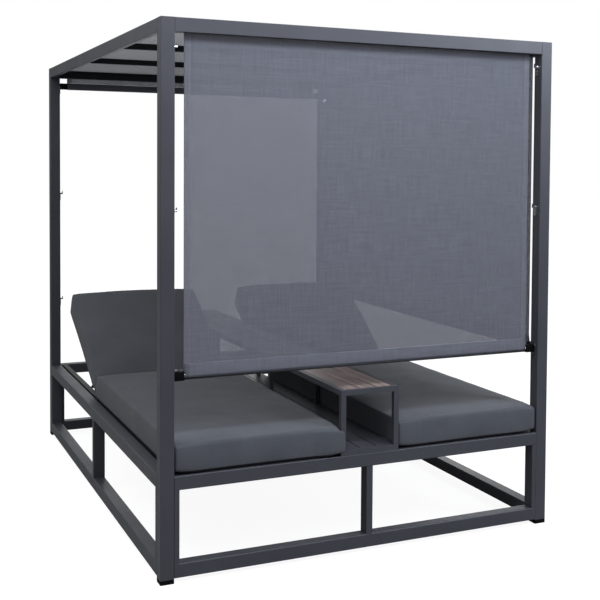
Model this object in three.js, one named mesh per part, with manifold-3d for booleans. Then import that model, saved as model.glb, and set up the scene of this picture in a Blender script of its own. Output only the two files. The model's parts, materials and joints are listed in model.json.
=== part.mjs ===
// Outdoor daybed with a canopy: a tall square-tube frame with a flat canopy roof, two reclining
// loungers side by side, a slatted console between them, and roll-up screens on three sides.
// Millimetres, +Z up, +Y from the foot of the beds to their head, origin on the floor at the centre.

import * as THREE from "three";
import { mergeVertices } from "three/addons/utils/BufferGeometryUtils.js";
import Module from "manifold-3d";

const wasm = await Module();
wasm.setup();

// Overall size
const width = 1620;
const length = 2270;
const height = 1970;

// Clearances
const fit = 0.3; // between pieces that touch
const weld = 1; // how far welded pieces reach into each other
const overrun = 2; // how far a cutting solid passes a face

// Roundness, as counts of steps
const cornerSteps = 2;
const rodSides = 10;
const smallSides = 8;

// Frame tubes
const tube = 50;
const tubeWall = 2;
const tubeRound = 3;
const postCap = 2;
const footHeight = 16;
const footPlug = 30;

// Base frames: a seat rail over a bottom rail
const seatHeight = 378;
const bottomRailUnderside = 18;
const stileWidth = 18;
const strutWidth = 25;

// Roof: rails as tall as the tube but narrower, flush with the frame's outer faces
const roofRailWidth = 20;
const roofRailRound = 1.5;
const roofLip = 15;
const roofLipThick = 3;
const roofSink = 10; // canopy's underside below the top of the rails
const canopyThick = 3;
const beam = 25;
const beamWall = 1.5;
const beamRound = 1.5;
const beamPlaceShares = [1 / 3, 13 / 20];

// Screens
const screenPlane = 30; // from the frame's outer face to the middle of the cloth
const screenSideGap = 40;
const clothThick = 1.2;
const headStripHeight = 34;
const headStripThick = 6;
const hemHeight = 56;
const hemThick = 12;
const screenUnderside = 710;
const rollRadius = 19;
const stubRadius = 6;
const collarLength = 20;
const collarWidth = 22;
const collarHeight = 32;
const prongThick = 5;
const prongTipGap = 4.5;
const rollAbovePeg = 5;

// Post hooks, three for each end of a screen
const pegHeight = 735; // the lowest
const topPegDrop = 49; // from the top rails' undersides
const pegCount = 3;
const pegRadius = 4;
const pegReach = 16;
const pegTip = 8;
const pegTipWidth = 4;
const plateWidth = 25;
const plateHeight = 45;
const plateThick = 2.5;
const plateAbovePeg = 7;

// Console
const consoleWidth = 242;
const consoleTop = 625;
const consoleTube = 20;
const consoleBays = 3;
const slatCount = 3;
const slatGap = 5;
const slatEdgeGap = 1;
const topSlatThick = 18;
const floorSlatThick = 12;
const ledgeDepth = 12;
const crossBar = 15;

// Beds
const bedSideGap = 10; // from the posts' inner faces to the bed
const bedConsoleGap = 1;
const deckRail = 25;
const deckSlatWidth = 60;
const deckSlatThick = 12;
const deckSlatCount = 9;
const deckSlatInset = 20;
const hingeFromBack = 878;
const hingeBelowSeat = 10;
const hingeClear = 25; // last deck slat to the hinge axis
const hingePinRadius = 5;
const hingePinReach = 18;
const pinClear = 0.5;

// Backrests
const recline = THREE.MathUtils.degToRad(30);
const backArm = 20;
const backFrameLength = 600;
const backArmGap = 6; // deck rail to backrest arm
const backBoreDepth = 16;
const backSlatThick = 8;
const backSlatWidth = 50;
const backSlatPlaceShares = [1 / 20, 1 / 5, 11 / 24, 73 / 120, 91 / 120]; // of the frame's length

// Backrest stays and their racks
const stayFromHinge = 207;
const stayLength = 198;
const stayRadius = 5.5;
const stayFoldback = THREE.MathUtils.degToRad(68.8);
const stayArmGap = 2; // backrest arm to stay arm
const stayBarRadius = 5;
const stayPinReach = 14;
const rackPlate = 4;
const rackDepth = 14;
const rackRise = 23;
const rackDrop = 31; // hinge axis down to the tooth tops
const rackStart = 170; // from the hinge axis, along the deck
const rackEnd = 430;
const rackPitch = 34;
const rackToothDepth = 8;
const rackToothTipShare = 0.35;

// Cushions
const cushionThick = 100;
const cushionEdge = 26;
const cushionCrown = 8;
const cushionDraw = 7; // how far the sides pull in between the corners
const seatCushionFrontInset = 1;
const seatCushionSetback = 44; // from the hinge axis
const seatMitre = 22;
const backCushionLength = 660;
const backCushionFoot = 5;
const backCushionNoseBack = 21;
const backCushionNoseUp = 26;
const cushionRingShares = [0, 0.3, 1];
const cushionStepsAcross = 8;
const cushionStepsAlong = 10;

// Edges and middles worked out from the sizes above
const left = -width / 2;
const right = width / 2;
const front = -length / 2;
const back = length / 2;
const innerWidth = width - 2 * tube;
const innerLength = length - 2 * tube;
const railUnderside = height - tube;
const canopyUnderside = height - roofSink;
const hingeY = back - hingeFromBack;
const hingeZ = seatHeight - hingeBelowSeat;
const bedWidth = (innerWidth - consoleWidth) / 2 - bedSideGap - bedConsoleGap;
const pegPitch = (railUnderside - topPegDrop - pegHeight) / (pegCount - 1);

const paint = (color, roughness, metalness) =>
  new THREE.MeshStandardMaterial({ color, roughness, metalness });
const anthracite = () => paint(0x3f4046, 0.5, 0.3);
const black = () => paint(0x111214, 0.6, 0);
const chrome = () => paint(0xc9ccd1, 0.15, 1);
const mesh = () => paint(0x67676f, 0.9, 0);
const cushionCloth = () => paint(0x4b4f54, 0.95, 0);
const wood = () => paint(0x745f54, 0.7, 0);
const blackMetal = () => paint(0x17181a, 0.5, 0.4);

const axisX = new THREE.Vector3(1, 0, 0);
const axisY = new THREE.Vector3(0, 1, 0);
const axisZ = new THREE.Vector3(0, 0, 1);
const sweeps = {
  x: new THREE.Matrix4().makeBasis(axisY, axisZ, axisX),
  y: new THREE.Matrix4().makeBasis(axisZ, axisX, axisY),
  z: new THREE.Matrix4(),
};

// A rectangle with rounded corners, centred on the origin.
function roundedRectangle(Outline, w, h, r) {
  const outline = new Outline();
  const x = w / 2;
  const y = h / 2;
  outline.moveTo(x, r - y);
  outline.lineTo(x, y - r);
  outline.absarc(x - r, y - r, r, 0, Math.PI / 2, false);
  outline.lineTo(r - x, y);
  outline.absarc(r - x, y - r, r, Math.PI / 2, Math.PI, false);
  outline.lineTo(-x, r - y);
  outline.absarc(r - x, r - y, r, Math.PI, 1.5 * Math.PI, false);
  outline.lineTo(x - r, -y);
  outline.absarc(x - r, r - y, r, 1.5 * Math.PI, 2 * Math.PI, false);
  return outline;
}

const solidSection = (w, h, r) => roundedRectangle(THREE.Shape, w, h, r);

function tubeSection(w, h, wall, r) {
  const section = roundedRectangle(THREE.Shape, w, h, r);
  const inside = Math.max(r - wall, wall / 4);
  section.holes.push(roundedRectangle(THREE.Path, w - 2 * wall, h - 2 * wall, inside));
  return section;
}

// A section swept from 0 to a length along x (section over y and z), y (over z and x) or z (over x and y).
function swept(section, axis, span) {
  const geometry = new THREE.ExtrudeGeometry(section, {
    depth: span,
    bevelEnabled: false,
    curveSegments: cornerSteps,
  });
  return geometry.applyMatrix4(sweeps[axis]);
}

function block(x0, x1, y0, y1, z0, z1) {
  const geometry = new THREE.BoxGeometry(x1 - x0, y1 - y0, z1 - z0);
  return geometry.translate((x0 + x1) / 2, (y0 + y1) / 2, (z0 + z1) / 2);
}

// A round rod along x from x0 to x1.
function rodX(radius, x0, x1, y, z, sides) {
  const geometry = new THREE.CylinderGeometry(radius, radius, x1 - x0, sides);
  return geometry.rotateZ(Math.PI / 2).translate((x0 + x1) / 2, y, z);
}

function toSolid(geometry) {
  const bare = geometry.index ? geometry.toNonIndexed() : geometry.clone();
  bare.deleteAttribute("normal");
  bare.deleteAttribute("uv");
  const merged = mergeVertices(bare, fit / 100);
  return new wasm.Manifold(
    new wasm.Mesh({
      numProp: 3,
      vertProperties: new Float32Array(merged.attributes.position.array),
      triVerts: new Uint32Array(merged.index.array),
    })
  );
}

function toGeometry(solid) {
  const { vertProperties, triVerts, numProp, numVert } = solid.getMesh();
  const points = new Float32Array(numVert * 3);
  for (let i = 0; i < numVert; i++) {
    const start = i * numProp;
    points.set(vertProperties.subarray(start, start + 3), i * 3);
  }
  const geometry = new THREE.BufferGeometry();
  geometry.setAttribute("position", new THREE.BufferAttribute(points, 3));
  geometry.setIndex(new THREE.BufferAttribute(triVerts, 1));
  geometry.computeVertexNormals();
  return geometry;
}

const joined = (geometries) => geometries.map(toSolid).reduce((a, b) => a.add(b));
const less = (solid, cutters) => cutters.map(toSolid).reduce((a, b) => a.subtract(b), solid);
const welded = (geometries) => toGeometry(joined(geometries));

function place(parent, name, geometry, material, x = 0, y = 0, z = 0) {
  const piece = new THREE.Mesh(geometry, material);
  piece.name = name;
  piece.position.set(x, y, z);
  parent.add(piece);
  return piece;
}

const daybed = new THREE.Group();

// Posts and feet
const postTube = swept(tubeSection(tube, tube, tubeWall, tubeRound), "z", height - footHeight);
const capSide = tube / 2 - tubeWall + weld;
const capTop = height - footHeight;
const postGeometry = welded([
  postTube,
  block(-capSide, capSide, -capSide, capSide, capTop - postCap, capTop),
]);
const plugSide = tube / 2 - tubeWall - fit;
const footGeometry = welded([
  swept(solidSection(tube, tube, tubeRound), "z", footHeight - fit),
  block(-plugSide, plugSide, -plugSide, plugSide, footHeight - fit - weld, footHeight + footPlug),
]);
const corners = [
  ["front_left", -1, -1],
  ["front_right", 1, -1],
  ["back_left", -1, 1],
  ["back_right", 1, 1],
];
for (const [corner, sideX, sideY] of corners) {
  const x = (sideX * (width - tube)) / 2;
  const y = (sideY * (length - tube)) / 2;
  place(daybed, `post_${corner}`, postGeometry, anthracite(), x, y, footHeight);
  place(daybed, `foot_${corner}`, footGeometry, black(), x, y, 0);
}

// The four sides, each a frame of its own: x along the side, y inwards from the outer face.
const sides = [
  { side: "front", span: innerWidth, turn: 0, x: 0, y: front },
  { side: "right", span: innerLength, turn: Math.PI / 2, x: right, y: 0 },
  { side: "back", span: innerWidth, turn: Math.PI, x: 0, y: back },
  { side: "left", span: innerLength, turn: -Math.PI / 2, x: left, y: 0 },
];

// A rail between two posts, flush with their outer faces, with its underside at z.
function railBetweenPosts(span, z, wide, round) {
  const long = span - 2 * fit;
  const section = tubeSection(wide, tube, tubeWall, round);
  return swept(section, "x", long).translate(-long / 2, wide / 2, z + tube / 2);
}

// A welded base frame: seat rail, bottom rail, a stile at each end and a strut in the middle.
function baseFrame(span) {
  const end = span / 2 - fit;
  const low = bottomRailUnderside + tube - weld;
  const high = seatHeight - tube + weld;
  return welded([
    railBetweenPosts(span, seatHeight - tube, tube, tubeRound),
    railBetweenPosts(span, bottomRailUnderside, tube, tubeRound),
    block(-end, stileWidth - end, 0, tube, low, high),
    block(end - stileWidth, end, 0, tube, low, high),
    block(-strutWidth / 2, strutWidth / 2, 0, tube, low, high),
  ]);
}

// A top rail: a tube on edge with an inner lip that carries the canopy's edge.
function topRail(span) {
  const end = span / 2 - fit;
  const lipTop = canopyUnderside - fit;
  const lipBack = roofRailWidth - weld;
  const lipFront = roofRailWidth + roofLip;
  const lip = block(-end, end, lipBack, lipFront, lipTop - roofLipThick, lipTop);
  return welded([railBetweenPosts(span, railUnderside, roofRailWidth, roofRailRound), lip]);
}

// A hook on a post: an oval plate with a peg at its top and an upturned tip. The peg points along +x.
function postHook() {
  const round = plateWidth / 2;
  const plateMiddle = plateAbovePeg - plateHeight / 2;
  const plate = swept(solidSection(plateWidth, plateHeight, round - weld / 2), "x", plateThick);
  plate.translate(fit, 0, plateMiddle);
  const peg = rodX(pegRadius, fit + plateThick / 2, pegReach, 0, 0, smallSides);
  const tipBase = pegReach - pegTipWidth;
  const tip = block(tipBase, pegReach, -pegRadius / 2, pegRadius / 2, 0, pegRadius + pegTip);
  return welded([plate, peg, tip]);
}
const hookGeometry = postHook();

// The forked cap on the left end of a screen's bar, open towards the post. Its prongs pass either side
// of a peg.
function forkedCap(innerFace) {
  const halfWide = collarWidth / 2;
  const halfTall = collarHeight / 2;
  const tip = innerFace + prongTipGap;
  const collar = innerFace + pegReach + prongTipGap / 2;
  return [
    block(collar, collar + collarLength, -halfWide, halfWide, -halfTall, halfTall),
    block(tip, collar + weld, -halfWide, prongThick - halfWide, -halfTall, halfTall),
    block(tip, collar + weld, halfWide - prongThick, halfWide, -halfTall, halfTall),
  ];
}

// A screen's bar with its two stubs and forked caps, centred on the bar's axis.
function screenBar(span, middle) {
  const innerFace = -span / 2;
  const edge = span / 2 - screenSideGap;
  const collarEnd = span / 2 - pegReach - prongTipGap / 2 - collarLength;
  const caps = forkedCap(innerFace);
  const farCaps = forkedCap(innerFace).map((cap) => cap.rotateZ(Math.PI));
  const stubs = [
    rodX(stubRadius, -collarEnd - weld, weld - edge, 0, 0, rodSides),
    rodX(stubRadius, edge - weld, collarEnd + weld, 0, 0, rodSides),
  ];
  return welded([middle(edge), ...stubs, ...caps, ...farCaps]);
}

// The hem pocket with the flat bar in it. The bar's axis lies in the pocket's lower part.
const hemBelowAxis = hemThick + overrun;
const hemPocket = (edge) =>
  swept(solidSection(hemThick, hemHeight, hemThick / 2 - fit), "x", 2 * edge).translate(
    -edge,
    0,
    hemHeight / 2 - hemBelowAxis
  );

// Cloth wound on the bar: a round roll with the step of the cloth's last turn.
const woundCloth = (edge) => {
  const roll = new THREE.Shape();
  roll.moveTo(rollRadius, 0);
  roll.absarc(0, 0, rollRadius, 0, Math.PI / 2, false);
  roll.absarc(0, 0, rollRadius - clothThick, Math.PI / 2, 2 * Math.PI, false);
  roll.closePath();
  const geometry = new THREE.ExtrudeGeometry(roll, {
    depth: 2 * edge,
    bevelEnabled: false,
    curveSegments: rodSides,
  });
  return geometry.applyMatrix4(sweeps.x).translate(-edge, 0, 0);
};

// The strip that holds a screen's head: a leg over the cloth's edge and a flange back to the rail's
// inner face.
function headStrip(span) {
  const end = span / 2 - fit;
  const legBack = screenPlane - headStripThick / 2;
  const legFront = screenPlane + headStripThick / 2;
  const low = railUnderside;
  const high = railUnderside + headStripHeight;
  return welded([
    block(-end, end, legBack, legFront, low, high),
    block(-end, end, roofRailWidth + fit, legBack + weld, high - headStripThick, high),
  ]);
}

const barAxisDown = screenUnderside + hemBelowAxis;
const barAxisUp = pegHeight + (pegCount - 1) * pegPitch + rollAbovePeg;

function screen(parent, side, span, rolledUp) {
  const name = (piece) => `${side}_screen_${piece}`;
  const axis = rolledUp ? barAxisUp : barAxisDown;
  const bar = screenBar(span, rolledUp ? woundCloth : hemPocket);
  place(parent, name("bar"), bar, rolledUp ? mesh() : blackMetal(), 0, screenPlane, axis);

  const clothEdge = span / 2 - screenSideGap;
  const clothLow = axis + (rolledUp ? rollRadius : hemHeight - hemBelowAxis) + fit;
  const clothHigh = railUnderside - fit;
  const halfCloth = clothThick / 2;
  const cloth = block(-clothEdge, clothEdge, -halfCloth, halfCloth, clothLow, clothHigh);
  place(parent, name("cloth"), cloth, mesh(), 0, screenPlane, 0);

  place(parent, name("head_strip"), headStrip(span), blackMetal());

  for (const [end, facing] of [["a", 0], ["b", Math.PI]]) {
    for (let i = 0; i < pegCount; i++) {
      const x = (facing ? 1 : -1) * (span / 2);
      const z = pegHeight + i * pegPitch;
      const hook = place(parent, name(`hook_${end}${i + 1}`), hookGeometry, chrome(), x, screenPlane, z);
      hook.rotation.z = facing;
    }
  }
}

for (const { side, span, turn, x, y } of sides) {
  const group = new THREE.Group();
  group.position.set(x, y, 0);
  group.rotation.z = turn;
  daybed.add(group);
  place(group, `base_frame_${side}`, baseFrame(span), anthracite());
  place(group, `top_rail_${side}`, topRail(span), anthracite());
  if (side !== "left") screen(group, side, span, side === "back");
}

// Roof: two beams across and a stretched canopy lying on them and on the rails' lips, cut out round
// the posts.
const beamLong = width - 2 * (roofRailWidth + roofLip + fit);
const beamZ = canopyUnderside - fit - beam / 2;
beamPlaceShares.forEach((share, i) => {
  const beamGeometry = swept(tubeSection(beam, beam, beamWall, beamRound), "x", beamLong);
  const y = front + tube + share * innerLength;
  place(daybed, `roof_beam_${i + 1}`, beamGeometry, blackMetal(), -beamLong / 2, y, beamZ);
});
function canopy() {
  const edge = roofRailWidth + fit;
  const corner = tube + fit;
  const outline = new THREE.Shape();
  outline.moveTo(left + corner, front + edge);
  outline.lineTo(right - corner, front + edge);
  outline.lineTo(right - corner, front + corner);
  outline.lineTo(right - edge, front + corner);
  outline.lineTo(right - edge, back - corner);
  outline.lineTo(right - corner, back - corner);
  outline.lineTo(right - corner, back - edge);
  outline.lineTo(left + corner, back - edge);
  outline.lineTo(left + corner, back - corner);
  outline.lineTo(left + edge, back - corner);
  outline.lineTo(left + edge, front + corner);
  outline.lineTo(left + corner, front + corner);
  outline.closePath();
  return swept(outline, "z", canopyThick);
}
place(daybed, "canopy", canopy(), mesh(), 0, 0, canopyUnderside);

// Console between the beds: a long box frame of thin tube with a slatted floor and a slatted top.
function consoleFrame() {
  const half = consoleWidth / 2;
  const inner = half - consoleTube;
  const low = seatHeight + fit;
  const thin = consoleTube;
  const pieces = [];
  const pitch = (length - thin) / consoleBays;
  for (const x of [-half, inner]) {
    pieces.push(block(x, x + thin, front, back, low, low + thin));
    pieces.push(block(x, x + thin, front, back, consoleTop - thin, consoleTop));
  }
  const slatUnderside = consoleTop - topSlatThick - fit;
  const floorTop = low + thin;
  for (let i = 0; i <= consoleBays; i++) {
    const y = front + i * pitch;
    for (const x of [-half, inner])
      pieces.push(block(x, x + thin, y, y + thin, low + weld, consoleTop - weld));
    const atEnd = i === 0 || i === consoleBays;
    const barTop = atEnd ? consoleTop : slatUnderside;
    const barLow = atEnd ? consoleTop - thin : slatUnderside - crossBar;
    pieces.push(block(-inner - weld, inner + weld, y, y + thin, barLow, barTop));
    const floorBarTop = atEnd ? floorTop : floorTop - floorSlatThick + weld;
    pieces.push(block(-inner - weld, inner + weld, y, y + thin, low, floorBarTop));
  }
  for (const [y0, y1] of [
    [front + thin - weld, front + thin + ledgeDepth],
    [back - thin - ledgeDepth, back - thin + weld],
  ])
    pieces.push(block(-inner - weld, inner + weld, y0, y1, consoleTop - thin, slatUnderside));
  for (const [x0, x1] of slatSpans())
    pieces.push(
      block(x0, x1, front + thin - weld, back - thin + weld, floorTop - floorSlatThick, floorTop)
    );
  return welded(pieces);
}

// The slats' left and right edges, shared evenly across the console's inside.
function slatSpans() {
  const inner = consoleWidth / 2 - consoleTube;
  const gaps = (slatCount - 1) * slatGap + 2 * slatEdgeGap;
  const wide = (2 * inner - gaps) / slatCount;
  return Array.from({ length: slatCount }, (_, i) => {
    const x0 = slatEdgeGap - inner + i * (wide + slatGap);
    return [x0, x0 + wide];
  });
}
place(daybed, "console_frame", consoleFrame(), anthracite());
slatSpans().forEach(([x0, x1], i) => {
  const start = front + consoleTube + fit;
  const long = length - 2 * consoleTube - 2 * fit;
  const section = solidSection(topSlatThick, x1 - x0, overrun);
  const z = consoleTop - topSlatThick / 2;
  place(daybed, `console_slat_${i + 1}`, swept(section, "y", long), wood(), (x0 + x1) / 2, start, z);
});

// Cushion: a closed grid wrapped round a box whose edges are rounded, whose top is crowned and whose
// sides pull in between the corners. The outline function moves each point along y, to slant an end.
function cushion(wide, long, thick, outline) {
  const placesAlong = (size, steps) => {
    const ends = cushionRingShares.map((share) => share * cushionEdge);
    const inside = Array.from(
      { length: steps - 1 },
      (_, i) => cushionEdge + ((i + 1) / steps) * (size - 2 * cushionEdge)
    );
    const farEnds = ends.map((place) => size - place).reverse();
    return [...ends, ...inside, ...farEnds].map((place) => place - size / 2);
  };
  const xs = placesAlong(wide, cushionStepsAcross);
  const ys = placesAlong(long, cushionStepsAlong);
  const zs = placesAlong(thick, 1);
  const geometry = new THREE.BoxGeometry(1, 1, 1, xs.length - 1, ys.length - 1, zs.length - 1);
  const position = geometry.attributes.position;
  const at = (places, value) => places[Math.round((value + 0.5) * (places.length - 1))];
  const half = new THREE.Vector3(wide, long, thick).divideScalar(2);
  const core = half.clone().subScalar(cushionEdge);
  for (let i = 0; i < position.count; i++) {
    const p = new THREE.Vector3(
      at(xs, position.getX(i)),
      at(ys, position.getY(i)),
      at(zs, position.getZ(i))
    );
    const inside = p.clone().clamp(core.clone().negate(), core);
    const out = p.clone().sub(inside);
    p.copy(inside).addScaledVector(out.normalize(), cushionEdge);
    const u = p.x / half.x;
    const v = p.y / half.y;
    const w = p.z / half.z;
    const upper = Math.max(w, 0);
    const middleX = 1 - u * u;
    const middleY = 1 - v * v;
    p.x -= u * Math.abs(u) * cushionDraw * middleY;
    p.y -= v * Math.abs(v) * cushionDraw * middleX;
    p.z += cushionCrown * upper * middleX * middleY;
    p.set(p.x, outline(p.y + long / 2, p.z + thick / 2), p.z + thick / 2);
    position.setXYZ(i, p.x, p.y, p.z);
  }
  return toGeometry(toSolid(geometry));
}

// Deck of one bed: two long rails, slats under the seat, hinge pins, and a toothed rack on each rail.
function deck() {
  const half = bedWidth / 2;
  const long = innerLength - 2 * fit;
  const start = front + tube + fit;
  const top = seatHeight - fit;
  const inner = half - deckRail;
  const pieces = [];
  for (const x of [-half, inner])
    pieces.push(block(x, x + deckRail, start, start + long, top - deckRail, top));
  const firstSlat = start + deckSlatInset;
  const lastSlat = hingeY - hingeClear - deckSlatWidth;
  for (let i = 0; i < deckSlatCount; i++) {
    const y = firstSlat + (i / (deckSlatCount - 1)) * (lastSlat - firstSlat);
    pieces.push(block(-inner - weld, inner + weld, y, y + deckSlatWidth, top - deckSlatThick, top));
  }
  for (const side of [-1, 1]) {
    const face = side * inner;
    const span = (a, b) => [Math.min(a, b), Math.max(a, b)];
    const pin = span(face + side * weld, face - side * hingePinReach);
    pieces.push(rodX(hingePinRadius, ...pin, hingeY, hingeZ, rodSides));
    const plate = span(face + side * weld, face - side * rackPlate);
    const y0 = hingeY + rackStart;
    const y1 = hingeY + rackEnd;
    const toothTop = hingeZ - rackDrop;
    pieces.push(block(...plate, y0, y1, toothTop - rackRise, top - deckRail / 2));
    pieces.push(rack(...span(face, face - side * rackDepth), y0, y1, toothTop));
  }
  return welded(pieces);
}

// A toothed ledge from x0 to x1: a row of slanted notches cut into its top edge.
function rack(x0, x1, y0, y1, toothTop) {
  const outline = new THREE.Shape();
  const count = Math.floor((y1 - y0) / rackPitch);
  const flat = rackPitch * rackToothTipShare;
  outline.moveTo(toothTop - rackRise, y0);
  outline.lineTo(toothTop, y0);
  for (let i = 0; i < count; i++) {
    const y = y0 + i * rackPitch;
    outline.lineTo(toothTop, y + flat);
    outline.lineTo(toothTop - rackToothDepth, y + flat + rackToothDepth / 2);
    outline.lineTo(toothTop - rackToothDepth, y + flat + rackToothDepth);
    outline.lineTo(toothTop, y + rackPitch);
  }
  outline.lineTo(toothTop, y1);
  outline.lineTo(toothTop - rackRise, y1);
  outline.closePath();
  return swept(outline, "z", x1 - x0).applyMatrix4(
    new THREE.Matrix4().makeBasis(axisZ, axisY, axisX.clone().negate())
  ).translate(x1, 0, 0);
}

// Backrest frame in its own frame: y up the slope from the hinge axis, z square to it.
function backrestFrame() {
  const outer = bedWidth / 2 - deckRail - backArmGap;
  const inner = outer - backArm;
  const half = backArm / 2;
  const arms = [];
  const cutters = [];
  for (const side of [-1, 1]) {
    const x0 = side < 0 ? -outer : inner;
    arms.push(rodX(half, x0, x0 + backArm, 0, 0, rodSides * 2));
    arms.push(block(x0, x0 + backArm, 0, backFrameLength, -half, half));
    const face = side * outer;
    const bore = face - side * backBoreDepth;
    const mouth = face + side * overrun;
    const reach = [Math.min(bore, mouth), Math.max(bore, mouth)];
    cutters.push(rodX(hingePinRadius + pinClear, ...reach, 0, 0, rodSides));
    const stayFace = side * inner;
    const stayBore = stayFace + side * stayPinReach;
    const stayMouth = stayFace - side * overrun;
    const stayHole = [Math.min(stayBore, stayMouth), Math.max(stayBore, stayMouth)];
    cutters.push(rodX(stayRadius + pinClear, ...stayHole, stayFromHinge, 0, rodSides));
  }
  const across = inner + weld;
  const slats = backSlatPlaceShares.map((share) => {
    const y = share * backFrameLength;
    return block(-across, across, y, y + backSlatWidth, half - backSlatThick, half);
  });
  const end = block(-across, across, backFrameLength - backArm, backFrameLength, -half, half);
  return toGeometry(less(joined([...arms, ...slats, end]), cutters));
}

// Stay: two round arms and a cross bar whose ends ride over the racks. y runs from its pivot to the bar.
function stay() {
  const armFace = bedWidth / 2 - deckRail - backArmGap - backArm;
  const armX = armFace - stayArmGap - stayRadius;
  const barEnd = bedWidth / 2 - deckRail - rackPlate - stayArmGap;
  const pieces = [rodX(stayBarRadius, -barEnd, barEnd, stayLength, 0, rodSides)];
  for (const side of [-1, 1]) {
    const arm = new THREE.CylinderGeometry(stayRadius, stayRadius, stayLength, rodSides);
    pieces.push(arm.translate(side * armX, stayLength / 2, 0));
    const pinEnd = side * (armFace + stayPinReach - stayArmGap);
    const pinStart = side * armX;
    pieces.push(rodX(stayRadius, Math.min(pinStart, pinEnd), Math.max(pinStart, pinEnd), 0, 0, rodSides));
    pieces.push(new THREE.SphereGeometry(stayRadius, rodSides, smallSides).translate(side * armX, 0, 0));
  }
  return welded(pieces);
}

const seatLong = hingeY - seatCushionSetback - (front + seatCushionFrontInset);
const seatCushion = cushion(
  bedWidth,
  seatLong,
  cushionThick,
  (y, z) => y - (y / seatLong) * (z / cushionThick) * seatMitre
);
const backFront = backCushionFoot - backCushionNoseBack;
const slant = Math.tan(recline);
const noseCut = (z) => Math.max(0, backCushionNoseUp - z);
const backCushion = cushion(bedWidth, backCushionLength, cushionThick, (y, z) => {
  const towardsFoot = 1 - y / backCushionLength;
  return backFront + y + towardsFoot * (slant * (z - backCushionNoseUp) + noseCut(z));
});

const bedMiddle = innerWidth / 2 - bedSideGap - bedWidth / 2;
for (const [side, x] of [["left", -bedMiddle], ["right", bedMiddle]]) {
  place(daybed, `${side}_deck`, deck(), blackMetal(), x);
  const seatY = front + seatCushionFrontInset;
  place(daybed, `${side}_seat_cushion`, seatCushion, cushionCloth(), x, seatY, seatHeight + fit);

  const backrest = new THREE.Group();
  backrest.position.set(x, hingeY, hingeZ);
  backrest.rotation.x = recline;
  daybed.add(backrest);
  place(backrest, `${side}_backrest_frame`, backrestFrame(), blackMetal());
  place(backrest, `${side}_back_cushion`, backCushion, cushionCloth(), 0, 0, backArm / 2 + fit);
  const stayPiece = place(backrest, `${side}_stay`, stay(), blackMetal(), 0, stayFromHinge, 0);
  stayPiece.rotation.x = -stayFoldback;
}

export default daybed;
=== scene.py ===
import json
import math

import bmesh
import bpy
import numpy as np
from mathutils import Matrix, Vector, noise


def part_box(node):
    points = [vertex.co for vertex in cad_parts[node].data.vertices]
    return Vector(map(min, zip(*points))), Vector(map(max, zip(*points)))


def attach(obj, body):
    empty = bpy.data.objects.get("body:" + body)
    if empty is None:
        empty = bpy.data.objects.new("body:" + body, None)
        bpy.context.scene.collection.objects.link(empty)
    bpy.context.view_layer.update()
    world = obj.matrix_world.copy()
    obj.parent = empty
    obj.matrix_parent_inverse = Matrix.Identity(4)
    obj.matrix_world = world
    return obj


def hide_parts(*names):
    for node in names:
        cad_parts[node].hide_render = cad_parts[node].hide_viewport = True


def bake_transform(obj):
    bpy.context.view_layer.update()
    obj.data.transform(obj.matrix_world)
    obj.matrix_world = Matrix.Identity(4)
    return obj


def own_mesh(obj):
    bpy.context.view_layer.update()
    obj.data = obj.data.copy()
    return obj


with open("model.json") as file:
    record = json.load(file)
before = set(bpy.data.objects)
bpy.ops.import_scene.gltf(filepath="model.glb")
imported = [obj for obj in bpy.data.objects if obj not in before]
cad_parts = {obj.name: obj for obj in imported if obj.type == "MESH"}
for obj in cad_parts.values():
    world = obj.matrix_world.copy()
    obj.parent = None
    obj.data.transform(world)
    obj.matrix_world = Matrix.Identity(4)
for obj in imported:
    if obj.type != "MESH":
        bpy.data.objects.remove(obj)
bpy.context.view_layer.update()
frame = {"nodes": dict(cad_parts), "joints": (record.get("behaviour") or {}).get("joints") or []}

scene = bpy.context.scene
scene.view_settings.view_transform = "Standard"

# Camera, solved from the straight edges of the photograph
image_side = 600
camera_place = Vector((-1.75781, -4.64929, 1.46753))
camera_yaw = 0.43731
camera_pitch = -0.03917
camera_roll = 0.00767
camera_range = 100
focal_pixels = 1047.538
centre_right_pixels = 44.474
centre_down_pixels = -93.995
sensor_width = 36

# Colours, linear
paint_colour = (0.028, 0.029, 0.036)
black_colour = (0.006, 0.0065, 0.0075)
plastic_colour = (0.002, 0.002, 0.0022)
chrome_colour = (0.42, 0.43, 0.45)
screen_colour = (0.117, 0.12, 0.141)
side_hem_colour = (0.18, 0.184, 0.212)
canopy_colour = (0.17, 0.175, 0.18)
cushion_colour = (0.057, 0.0605, 0.0685)
# Painted shade: black on the cushions' lowest band, standing in for the shadow line under them
under_shade_colour = (0.006, 0.006, 0.007)
wood_light = (0.2, 0.145, 0.13)
wood_dark = (0.08, 0.058, 0.052)

# Distance from cord to cord in the weaves
screen_yarn = 0.0016
cushion_yarn = 0.0013

# Meshes
sharp_angle = math.radians(40)
weld_distance = 1e-5

# Cloth of the screens: folded side hems, and waves that die out over wave_ease along u and z
side_hem = 0.024
hem_lift = 0.0009
fold_turn = 0.002
screen_steps = (96, 84)
wave_height = 0.0012
wave_ease = (0.12, 0.1)
soft_wave = (3.1, 1.7)
soft_seed = {"front": 4.0, "right": 7.0, "back": 4.0}
fine_wave = (11.0, 4.0)
fine_seed = 9.0
fine_share = 0.35

# Flat bar and its hem pocket. Heights count from the bar's lower edge. pocket_form holds pairs of
# a share of the thickness and a height
bar_rise = 0.002
bar_line = 0.007
bar_thick = 0.011
bar_sides = 24
bar_squareness = 0.6
pocket_thick = 0.0085
pocket_form = ((1.1, 0.016), (0.95, 0.03), (0.62, 0.043))
pocket_steps = 60
sewn_gap = 0.003
sewn_bulge = 0.0003

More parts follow.
